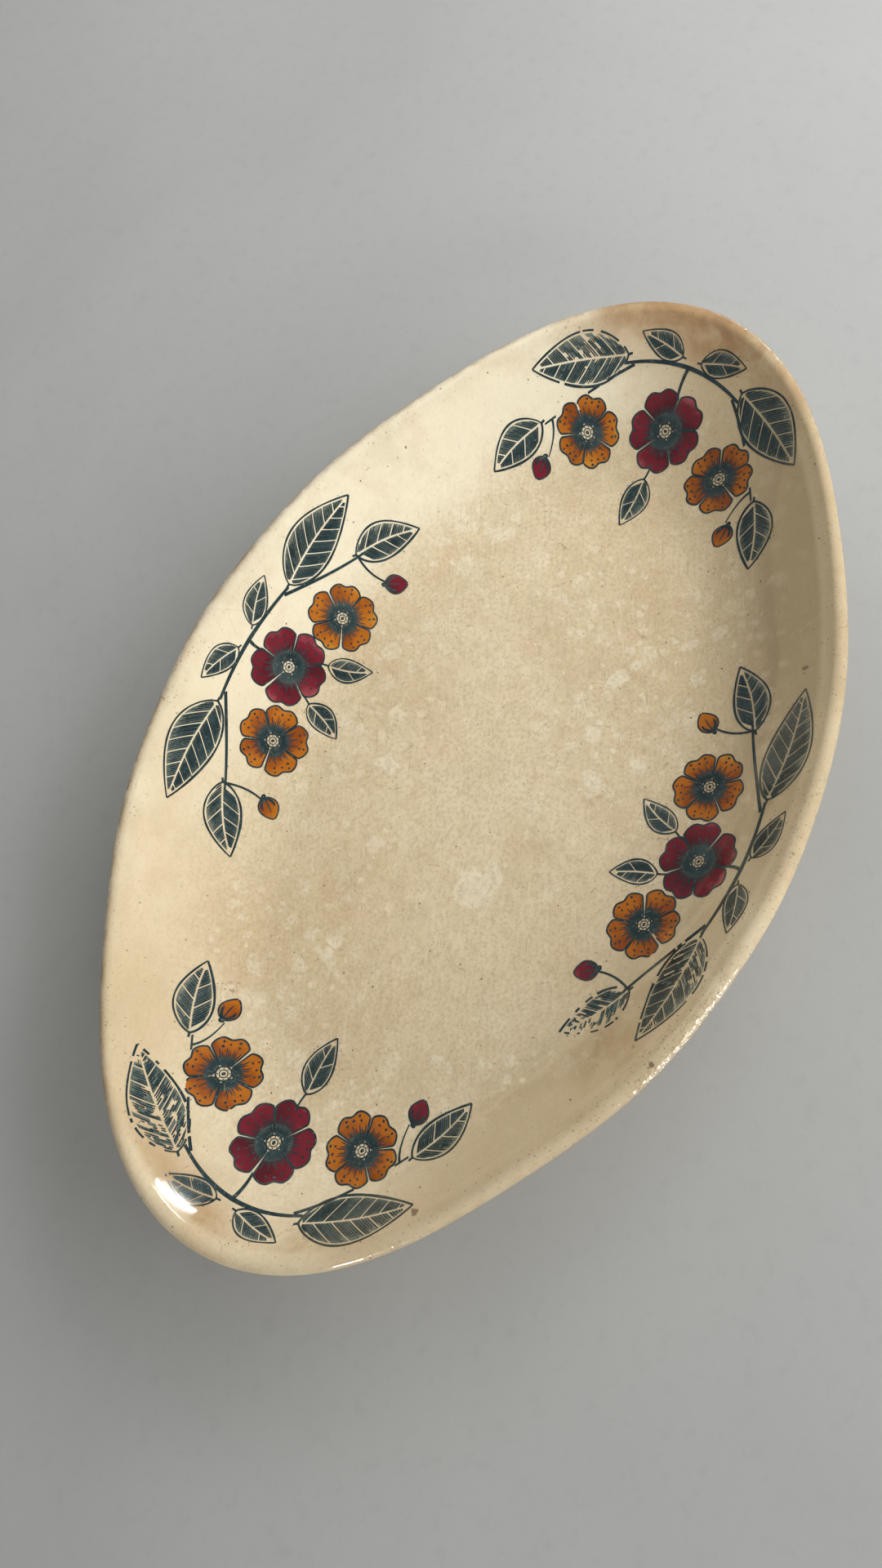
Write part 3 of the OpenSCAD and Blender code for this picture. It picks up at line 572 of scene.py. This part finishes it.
class Film:
    """Thin closed films on the glaze, gathered into one piece."""

    def __init__(self, place, worn=()):
        self.place, self.worn = place, worn
        self.v, self.f, self.m, self.t, self.n = [], [], [], [], 0

    def rubbed(self, xy):
        """How likely the print is to be missing at points of the plan."""
        p = xy * self.place.sign
        chance = np.zeros(p.shape[:-1])
        for x, y, r, s in self.worn:
            chance = np.maximum(chance, s * np.exp(-((p[..., 0] - x) ** 2 + (p[..., 1] - y) ** 2) / r**2))
        return chance

    def slab(self, xy, top, low, mat=0, tone=0.5, closed=False):
        n, m, _ = xy.shape
        flat = xy.reshape(-1, 2) * self.place.sign
        mid = n // 2
        c = xy[(mid + 1) % n, 0] - xy[mid, 0], xy[mid, -1] - xy[mid, 0]
        flip = c[0][0] * c[1][1] - c[0][1] * c[1][0] < 0
        self.v += [lift(flat, top), lift(flat, low)]
        self.t += [np.broadcast_to(np.asarray(tone, float), (n, m)).reshape(-1)] * 2
        w = n * m
        i, j = np.meshgrid(np.arange(n if closed else n - 1), np.arange(m - 1), indexing="ij")
        a, b = (i * m + j).ravel(), (((i + 1) % n) * m + j).ravel()
        q = [np.stack([a, b, b + 1, a + 1], 1), np.stack([w + a, w + a + 1, w + b + 1, w + b], 1)]
        i = np.arange(n if closed else n - 1)
        a, b = i * m, ((i + 1) % n) * m
        q.append(np.stack([a, w + a, w + b, b], 1))
        a, b = a + m - 1, b + m - 1
        q.append(np.stack([a, b, w + b, w + a], 1))
        if not closed:
            j = np.arange(m - 1)
            q.append(np.stack([j, j + 1, w + j + 1, w + j], 1))
            j = j + (n - 1) * m
            q.append(np.stack([j, w + j, w + j + 1, j + 1], 1))
        q = np.vstack(q)
        if flip:
            q = q[:, ::-1]
        self.f.append(q + self.n)
        self.m.append(np.full(len(q), mat))
        self.n += 2 * w

    def wash(self, xy, tone):
        """A panel of printed tone, in ragged scraps where the print took badly."""
        bare = self.rubbed(xy)
        if bare.max() <= 0.05:
            self.slab(xy, 0.035, -0.03, 1, tone)
            return
        n, m, _ = xy.shape
        for i in range(n - 1):
            j = 0
            while j < m - 1:
                e = min(j + rng.randint(1, 3), m - 1)
                if rng.random() > 1.5 * bare[i, j]:
                    self.slab(xy[i:i + 2, j:e + 1], 0.035, -0.03, 1, tone[i:i + 2, j:e + 1])
                j = e

    def stroke(self, to_plan, pts, width, mat=0, top=0.075, low=-0.03):
        """A pen line along points of a motif, with its own width at each of them."""
        pts, width = np.asarray(pts, float), np.broadcast_to(np.asarray(width, float), len(pts))
        bare = self.rubbed(to_plan(pts[:, 0], pts[:, 1]))
        if bare.max() > 0.05:
            step = np.concatenate([[0], np.cumsum(np.hypot(*np.diff(pts, axis=0).T))])
            fine = np.linspace(0, step[-1], max(4, int(step[-1] / 0.3)))
            pts = np.stack([np.interp(fine, step, pts[:, 0]), np.interp(fine, step, pts[:, 1])], 1)
            width, bare = np.interp(fine, step, width), np.interp(fine, step, bare)
        d = np.gradient(pts, axis=0)
        d /= np.maximum(np.linalg.norm(d, axis=1), 1e-9)[:, None]
        side = np.stack([-d[:, 1], d[:, 0]], 1) * (width / 2)[:, None]
        g = np.stack([pts - side, pts + side], 1)
        xy = to_plan(g[..., 0], g[..., 1])
        if bare.max() <= 0.05:
            self.slab(xy, top, low, mat)
            return
        i = 0
        while i < len(pts) - 1:
            j = min(i + rng.randint(2, 6), len(pts) - 1)
            if rng.random() > bare[(i + j) // 2]:
                self.slab(xy[i:j + 1], top, low, mat)
            i = j

    def dot(self, to_plan, u, v, r, mat=0, top=0.075, low=-0.03, sides=9):
        q = -2 * np.pi * np.arange(sides) / sides + rng.random()
        rr = r * (1 + 0.14 * np.sin(2 * q + rng.random() * 6))
        g = np.stack([np.stack([u + f * rr * np.cos(q), v + f * rr * np.sin(q)], -1) for f in (0.12, 1.0)], 1)
        self.slab(to_plan(g[..., 0], g[..., 1]), top, low, mat, closed=True)

    def make(self, name, mats, node, slot):
        v, f = np.vstack(self.v), np.vstack(self.f)
        ob = new_object(name, v, f, mats, np.concatenate(self.m), np.concatenate(self.t), sharp=35)
        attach(ob, "root")
        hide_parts(node)
        return ob


def taper(n, a=0.35, b=0.35, power=0.5):
    x = np.linspace(0, 1, n)
    return np.clip(np.minimum(a + (1 - a) * np.power(np.clip(x * 4, 0, 1), power),
                              b + (1 - b) * np.power(np.clip((1 - x) * 4, 0, 1), power)), 0, 1)


def leaf(ink, g, dark_side):
    """Pointed leaf as an engraver cuts it: outline, pale margin, pale ribs, hatched panels."""
    s, l, turn, length, wide, bend = g
    stalk = 3.0 if l > 35 else 1.0
    k = ink.place.spot(s, l)
    c, sn = math.cos(math.radians(turn)), math.sin(math.radians(turn))

    def plan(a, b):
        return laid(k, a * c - b * sn, a * sn + b * c)

    def half(x):
        x = np.clip(x, 0, 1)
        return 0.15 + wide / 2 * np.power(np.sin(np.pi * np.power(x, 0.8)).clip(0), 0.85) * (1 - 0.12 * x)

    def mid(x):
        return bend * np.sin(np.pi * np.clip(x, 0, 1))

    fine = 0.78 if length < 14 else 1.0
    line, gap, rib = 0.46 * fine, 0.36 * fine, 0.34 * fine
    x = np.linspace(0, 1, 40)
    for sign in (-1, 1):
        w = line * (1.2 if sign == dark_side else 0.95)
        path = np.stack([(x - 0.5) * length, mid(x) + sign * np.maximum(half(x) - w / 2, 0.02)], 1)
        uneven = 1 + 0.12 * np.sin(9 * x + rng.uniform(0, 6)) + 0.08 * np.sin(23 * x + rng.uniform(0, 6))
        ink.stroke(plan, path, w * (0.85 + 0.15 * np.sin(np.pi * x)) * uneven)
    margin = line + gap
    ribs = int(round(length / 3.7))
    lean, curl = 0.78, 0.022

    def along(xi, y):
        return xi + lean * y + curl * y * y

    y_all = np.linspace(0, wide / 2, 90)

    def span(xi):
        """Where a line that leaves the middle rib at xi runs inside the pale margin."""
        a = along(xi, y_all)
        ok = (y_all < half(a / length) - margin) & (a > 0.03 * length) & (a < 0.985 * length) & (y_all > rib * 0.55)
        return (y_all[ok].min(), y_all[ok].max()) if ok.any() else (9.0, 0.0)

    starts = np.linspace(0.05 * length, 0.86 * length, ribs)
    for sign in (-1, 1):
        dark = sign == dark_side
        shift = 0 if dark else 0.45 * (starts[1] - starts[0])
        bounds = np.concatenate([[-0.62 * wide], starts + shift, [0.96 * length]])
        for lo, hi in zip(bounds[:-1], bounds[1:]):
            lo, hi = lo + gap * 0.44, hi - gap * 0.44
            rows = [(xi, *span(xi)) for xi in np.linspace(lo, hi, max(3, int((hi - lo) / 0.7)))]
            rows = [p for p in rows if p[2] - p[1] > 0.25]
            if len(rows) < 2:
                continue
            f = np.linspace(0, 1, 8)
            y = np.array([p[1] + (p[2] - p[1]) * f for p in rows])
            a = along(np.array([p[0] for p in rows])[:, None], y)
            across = np.linspace(0, 1, len(rows))[:, None]
            tone = np.clip((0.06 if dark else 0.24) + 0.26 * across + 0.12 * f[None] + rng.uniform(-0.06, 0.08), 0, 1)
            xy = plan(a - length / 2, mid(a / length) + sign * y)
            ink.wash(xy, tone)
            n = max(2, int(round((hi - lo) / (0.56 * fine))))
            for i in range(n):
                xi = lo + (hi - lo) * (i + 0.5) / n
                y0, y1 = span(xi)
                if y1 - y0 < 0.5:
                    continue
                y0 += rng.uniform(0, 0.08) * (y1 - y0)
                y1 -= rng.uniform(0, 0.08 if dark else 0.28) * (y1 - y0)
                y = np.linspace(y0, y1, max(4, int((y1 - y0) / 0.9) + 2))
                a = along(xi + rng.uniform(-0.04, 0.04), y)
                w = (0.37 if dark else 0.32) * fine * rng.uniform(0.85, 1.15) * (1.1 - 0.25 * i / n)
                ink.stroke(plan, np.stack([a - length / 2, mid(a / length) + sign * y], 1), w * taper(len(y), 0.8, 0.45), top=0.07)
    # specks of ink that strayed past the outline
    for _ in range(9):
        x0, sign = rng.uniform(0.05, 0.98), rng.choice((-1, 1))
        out = half(x0) + 0.25 + rng.expovariate(1 / 0.55)
        ink.dot(plan, (x0 - 0.5) * length, mid(x0) + sign * out, rng.uniform(0.05, 0.13), sides=6)
    # stalk end of the leaf
    y = np.linspace(0, 1, 8)
    ink.stroke(plan, np.stack([-length / 2 + 0.3 - (stalk + 0.3) * y, 0.12 * (stalk - 1) * np.sin(2.5 * y)], 1), 0.6 * fine * np.linspace(1, 0.8, 8))


def blossom(ink, tint, g, dots, seed):
    """Open flower with five petals: tinted tips, an engraved dark throat, outline and dots."""
    s, l, radius, turn = g
    r0, n = 1.75, 5
    k = ink.place.spot(s, l)
    for p in range(n):
        q = math.radians(turn + 360 * p / n + rng.uniform(-2.5, 2.5))
        R = radius * rng.uniform(0.97, 1.02)
        c, sn = math.cos(q), math.sin(q)
        plan = lambda a, b: laid(k, a * c - b * sn, a * sn + b * c)
        rc, ax, bx = (R + r0) / 2, (R - r0) / 2, 0.475 * R
        wedge = math.tan(math.pi / n) * 0.94

        def half(a):
            b = bx * np.power(np.sin(np.arccos(np.clip((rc - a) / ax, -1, 1))), 0.8)
            return np.minimum(b, np.maximum(a * wedge - 0.1, 0.0))

        def notch(a, b):
            return a - 0.75 * np.exp(-((b / 1.25) ** 2)) * np.clip((a - rc) / ax, 0, 1) ** 2

        f = np.linspace(-1, 1, 9)
        a = rc - ax * np.cos(np.linspace(0.05, np.pi - 0.03, 14))
        A, B = a[:, None] + 0 * f[None], np.maximum(half(a), 0.03)[:, None] * f[None] * 0.985
        base = rng.uniform(-0.12, 0.22)
        tone = np.clip(base + 0.62 * ((a - r0) / (R - r0))[:, None] + 0.28 * f[None] * math.cos(q + seed), 0, 1.1)
        tint.slab(plan(notch(A, B), B), 0.03, -0.03, 0, tone)
        # the throat: dark round the eye, with engraved lines of mixed length running out of it
        far = lambda v: r0 + (0.30 - 0.07 * v * v) * (R - r0)
        x = np.linspace(0, 1, 6)
        A = r0 + 0.12 + x[:, None] * (far(f)[None] - r0 - 0.12)
        B = half(A) * f[None] * 0.88
        ink.slab(plan(A, B), 0.048, -0.02, 1, np.clip(0.1 + 0.25 * x[:, None] + 0 * f[None], 0, 1))
        for i, off in enumerate(np.linspace(-0.88, 0.88, 11)):
            long = (0.60, 0.40, 0.50)[i % 3] * (1 - 0.28 * off * off) * rng.uniform(0.92, 1.1)
            a = np.linspace(r0 + 0.25, r0 + long * (R - r0), 7)
            ink.stroke(plan, np.stack([a, half(a) * off * 0.86], 1), 0.25 * taper(7, 0.95, 0.3))
        # outline
        psi = np.linspace(0.02, np.pi, 28)
        a = rc - ax * np.cos(psi)
        b = np.maximum(half(a), 0.02)
        for sign in (-1, 1):
            ink.stroke(plan, np.stack([notch(a, b), sign * b], 1), 0.36 * (0.9 + 0.25 * np.sin(psi / 2)))
        for a0, b0 in dots:
            ink.dot(plan, r0 + a0 * (R - r0) + rng.uniform(-0.12, 0.12), b0 * bx + rng.uniform(-0.12, 0.12), 0.27 * rng.uniform(0.85, 1.2))
    plan = lambda a, b: laid(k, a, b)
    q = np.linspace(0, 2 * np.pi, 33)[:-1]
    for rr, w in ((1.6, 0.36), (0.85, 0.22)):
        g2 = np.stack([np.stack([r * np.cos(-q), r * np.sin(-q)], -1) for r in (rr - w / 2, rr + w / 2)], 1)
        ink.slab(plan(g2[..., 0], g2[..., 1]), 0.075, -0.03, 0, closed=True)
    ink.dot(plan, 0, 0, 0.42)
    for j in range(8):
        a = 2 * math.pi * (j + 0.5) / 8
        ink.dot(plan, 1.22 * math.cos(a), 1.22 * math.sin(a), 0.15)


def bud(ink, tint, g):
    s, l, turn, length, wide, _ = g
    k = ink.place.spot(s, l)
    c, sn = math.cos(math.radians(turn)), math.sin(math.radians(turn))
    plan = lambda a, b: laid(k, a * c - b * sn, a * sn + b * c)
    x = np.linspace(0, 1, 11)
    h = 0.1 + wide / 2 * np.power(np.sin(np.pi * np.power(x, 0.85)).clip(0), 0.75)
    f = np.linspace(-1, 1, 7)
    A = ((x - 0.5) * length)[:, None] + 0 * f[None]
    tint.slab(plan(A, h[:, None] * f[None] * 0.97), 0.03, -0.03, 0, 0.2 + 0.5 * x[:, None] + 0.15 * f[None])
    x = np.linspace(0, 1, 20)
    h = 0.1 + wide / 2 * np.power(np.sin(np.pi * np.power(x, 0.85)).clip(0), 0.75)
    for sign in (-1, 1):
        ink.stroke(plan, np.stack([(x - 0.5) * length, sign * h], 1), 0.36)
        y = np.linspace(0, 1, 8)
        ink.stroke(plan, np.stack([-length / 2 + y * length * 0.5, sign * wide * 0.34 * np.sin(y * 1.9)], 1), 0.62 * taper(8, 0.9, 0.2))
    y = np.linspace(0, 1, 6)
    ink.stroke(plan, np.stack([-length / 2 + y * length * 0.72, 0.1 * np.sin(3 * y)], 1), 0.3 * taper(6, 0.9, 0.2))
    ink.dot(plan, -length / 2 - 0.2, 0, 0.62)


def stem(ink, g, flowers):
    """Curved stalk, which passes behind the flowers."""
    y = np.linspace(0, 1, 60)[:, None]
    a, b, c = np.array(g[0:2]), np.array(g[2:4]), np.array(g[4:6])
    pts = (1 - y) ** 2 * a + 2 * y * (1 - y) * b + y**2 * c
    width = g[6] * np.linspace(1.0, 0.7, 60)
    seen = np.ones(60, bool)
    for s, l, radius, turn in flowers:
        k = ink.place.spot(s, l)
        off = ink.place.spot(pts[:, 0], pts[:, 1])["p"] - k["p"]
        d = np.stack([off @ k["a"], np.interp(reach(l) + off @ k["n"] / k["flare"], drop[:, 0], drop_l) - l], 1)
        q = np.arctan2(d[:, 1], d[:, 0]) - math.radians(turn)
        joins = np.hypot(*d[-1]) < radius
        seen &= np.hypot(*d.T) > radius * ((0.89 if joins else 0.99) + (0.10 if joins else 0.03) * np.cos(5 * q))
    i = 0
    while i < 60:
        j = i
        while j < 60 and seen[j]:
            j += 1
        if j - i > 3:
            ink.stroke(lambda u, v: ink.place.spot(u, v)["p"], pts[i:j], width[i:j])
        i = j + 1


side = {
    "leaves": [(-27.5, 11.4, 187, 26, 12.8, 1.3), (28, 11.6, -6, 26, 12.8, -1.3),
               (-43.5, 24, 163, 17.5, 9.4, 0.9), (44, 24.8, 18, 17.5, 9.4, -0.9),
               (-7.9, 8.8, 203, 12, 6.6, 0.6), (8.1, 8.7, -23, 12, 6.6, -0.6),
               (-10.4, 37.2, 116, 11, 6.4, -0.5), (10.4, 37.8, 62, 11, 6.4, 0.5)],
    "red": [(0, 24.2, 9.6, 90)],
    "gold": [(-20.4, 28.2, 8.6, 70), (20.7, 28.9, 8.6, 110)],
    "stems": [(0, 12.2, -8, 12.4, -15, 12.8, 1), (0, 12.2, 8, 12.2, 15.4, 12.8, 1),
              (0.3, 12.6, 0.9, 14.6, 0.2, 17.6, 0.8),
              (-13, 13.2, -25, 19.6, -35.6, 21.6, 0.8), (13.2, 13.2, 25.4, 20, 36, 22.2, 0.8),
              (-34, 21, -34, 27, -38.6, 31.4, 0.6), (34.4, 21.6, 34.6, 28, 39.4, 32.4, 0.6)],
    "red_buds": [(-40.6, 33, 142, 5.6, 4.4, 0)],
    "gold_buds": [(41.4, 34, 38, 5.6, 4.4, 0)],
}
end = {
    "leaves": [(-25.5, 11.2, 187, 24, 12.4, 1.2), (26, 11.4, -7, 24, 12.4, -1.2),
               (-41, 23.6, 165, 16.5, 9, 0.8), (41.5, 24.2, 16, 16.5, 9, -0.8),
               (-7.4, 8.7, 203, 11.4, 6.4, 0.6), (7.6, 8.6, -23, 11.4, 6.4, -0.6),
               (0, 42.6, 90, 11.5, 6.8, 0.4)],
    "red": [(0, 26, 9, 90)],
    "gold": [(-20.6, 26.4, 8, 75), (20.9, 27, 8, 105)],
    "stems": [(0, 12, -8, 12.2, -14.4, 12.6, 1), (0, 12, 8, 12, 14.8, 12.6, 1),
              (0.3, 12.4, 0.9, 15.6, 0.2, 19.6, 0.8),
              (-12.6, 13, -24, 19, -33.4, 21.4, 0.8), (12.8, 13, 24.4, 19.4, 33.8, 21.8, 0.8),
              (-31.6, 20.6, -29.6, 24.6, -31.0, 29.2, 0.55), (32, 21, 30.0, 25.2, 31.4, 29.8, 0.55)],
    "red_buds": [(33.4, 31.6, 44, 5.4, 4.2, 0)],
    "gold_buds": [(-33, 31, 136, 5.4, 4.2, 0)],
}
# places where the print took badly: plan x, y, size, chance
worn = [(-47, -49, 11, 0.75), (-92, 39, 8, 0.55), (-103, 20, 9, 0.35), (-22, -62, 7, 0.3), (103, 22, 8, 0.22)]
gold_dots = [(0.66, -0.42), (0.66, 0.40), (0.74, 0.0), (0.82, -0.44), (0.83, 0.42)]
red_dots = [(0.72, -0.36), (0.72, 0.38), (0.80, 0.02)]

for name, plan_, t0, half_turn in (("side_a", side, math.pi / 2, False), ("side_b", side, math.pi / 2, True),
                                   ("end_a", end, 0.0, False), ("end_b", end, 0.0, True)):
    place = Place(t0, half_turn)
    ink, gold, red = Film(place, worn), Film(place, worn), Film(place, worn)
    for g in plan_["stems"]:
        stem(ink, g, plan_["red"] + plan_["gold"])
    for i, g in enumerate(plan_["leaves"]):
        leaf(ink, g, 1 if i % 2 else -1)
    for i, g in enumerate(plan_["gold"]):
        blossom(ink, gold, g, gold_dots, 0.8 * i)
    for g in plan_["red"]:
        blossom(ink, red, g, red_dots, 2.0)
    for g in plan_["gold_buds"]:
        bud(ink, gold, g)
    for g in plan_["red_buds"]:
        bud(ink, red, g)
    ink.make(f"ink_{name}", [INK_M, WASH_M], f"{name}_print", "slate_print")
    gold.make(f"gold_{name}", [OCHRE_M], f"{name}_ochre", "ochre_tint")
    red.make(f"red_{name}", [CRIMSON_M], f"{name}_crimson", "crimson_tint")

# ---------------------------------------------------------------- floor, light and camera


def floor_look():
    k = Look("pale_floor")
    color = k.mix(k.span(k.noise(5, 5, 0.6, 0.4), 0.35, 0.7), lin(178, 179, 177), lin(171, 172, 170))
    color = k.mix(k.math("MULTIPLY", k.span(k.noise(240, 3, 0.6), 0.5, 0.75), 0.25), color, lin(160, 160, 158))
    n = k.bump(k.noise(300, 3, 0.6), 0.0003, 0.25)
    return k.done(color, k.span(k.noise(30, 3, 0.5), 0.3, 0.7, 0.55, 0.7), n)


floor_mesh = bpy.data.meshes.new("floor")
R = 8.0
floor_mesh.from_pydata([(-R, -R, 0), (R, -R, 0), (R, R, 0), (-R, R, 0)], [], [(0, 1, 2, 3)])
floor_mesh.materials.append(floor_look())
floor_ob = bpy.data.objects.new("floor", floor_mesh)
bpy.context.scene.collection.objects.link(floor_ob)
floor_ob.location = (0, 0, -0.0002)

# camera: stands close over the dish, a little to one side, the frame upright at 1080 by 1920
AX_X = Vector((0.4756, -0.8706, -0.1259))
AX_DOWN = Vector((-0.8547, -0.4234, -0.3003))
AX_Z = Vector((0.2081, 0.2504, -0.9455))
AX_Z.normalize()
AX_X = (AX_X - AX_Z * AX_X.dot(AX_Z)).normalized()
AX_DOWN = AX_Z.cross(AX_X).normalized()
cam_data = bpy.data.cameras.new("camera")
cam_data.sensor_fit, cam_data.sensor_height, cam_data.sensor_width = "VERTICAL", 36.0, 36.0
cam_data.lens = 1442 / 1920 * 36.0
cam_data.clip_start = 0.01
cam = bpy.data.objects.new("camera", cam_data)
bpy.context.scene.collection.objects.link(cam)
where = Vector((-0.5498 * 0.120, -0.515 * 0.120, 2.0199 * 0.120 + 0.0288))
m = Matrix((AX_X, -AX_DOWN, -AX_Z)).transposed().to_4x4()
m.translation = where
cam.matrix_world = m
bpy.context.scene.camera = cam


def toward(azimuth, elevation):
    """A direction in the room: azimuth as it lies in the picture, 0 up the frame and 90 to its right."""
    a, e = math.radians(azimuth), math.radians(elevation)
    h = Vector((AX_X.x, AX_X.y, 0)).normalized() * math.sin(a) - Vector((AX_DOWN.x, AX_DOWN.y, 0)).normalized() * math.cos(a)
    h.normalize()
    return Vector((h.x * math.cos(e), h.y * math.cos(e), math.sin(e)))


def area(name, azimuth, elevation, dist, size, power, soft=True, gloss=False, shape="RECTANGLE"):
    """Area light that faces the dish; the broad ones light it and the small ones only glint on the glaze."""
    d = bpy.data.lights.new(name, "AREA")
    d.shape, d.size, d.size_y = shape, size[0], size[1]
    d.energy = power
    o = bpy.data.objects.new(name, d)
    bpy.context.scene.collection.objects.link(o)
    v = toward(azimuth, elevation)
    o.location = Vector((0, 0, 0.02)) + v * dist
    o.rotation_euler = v.to_track_quat("Z", "Y").to_euler()
    o.visible_diffuse, o.visible_glossy = soft, gloss
    return o


area("key", 95, 34, 1.1, (0.8, 0.6), 4.8)
area("near_right", 45, 36, 0.6, (0.5, 0.3), 1.95)
area("near_top", 0, 40, 0.55, (0.5, 0.3), 0.45)
area("low_right", 150, 20, 2.0, (1.0, 0.8), 7.4)
area("lowest", 180, 6, 2.4, (1.2, 0.4), 8.0)
area("low", 176, 14, 2.4, (1.2, 0.8), 1.5)
area("window", 29, 7.6, 2.5, (0.84, 0.058), 9.0, soft=False, gloss=True, shape="ELLIPSE")
area("glint", 125.5, 1.0, 2.0, (0.20, 0.11), 68.0, soft=False, gloss=True)
area("glint_low", 176, 3.0, 2.0, (0.07, 0.09), 16.0, soft=False, gloss=True)
world = bpy.data.worlds.new("world")
world.use_nodes = True
bg = world.node_tree.nodes.get("Background") or world.node_tree.nodes.new("ShaderNodeBackground")
bg.inputs[0].default_value = (1.0, 0.99, 0.97, 1.0)
bg.inputs[1].default_value = 0.305
bpy.context.scene.world = world
bpy.context.scene.view_settings.view_transform = "Standard"
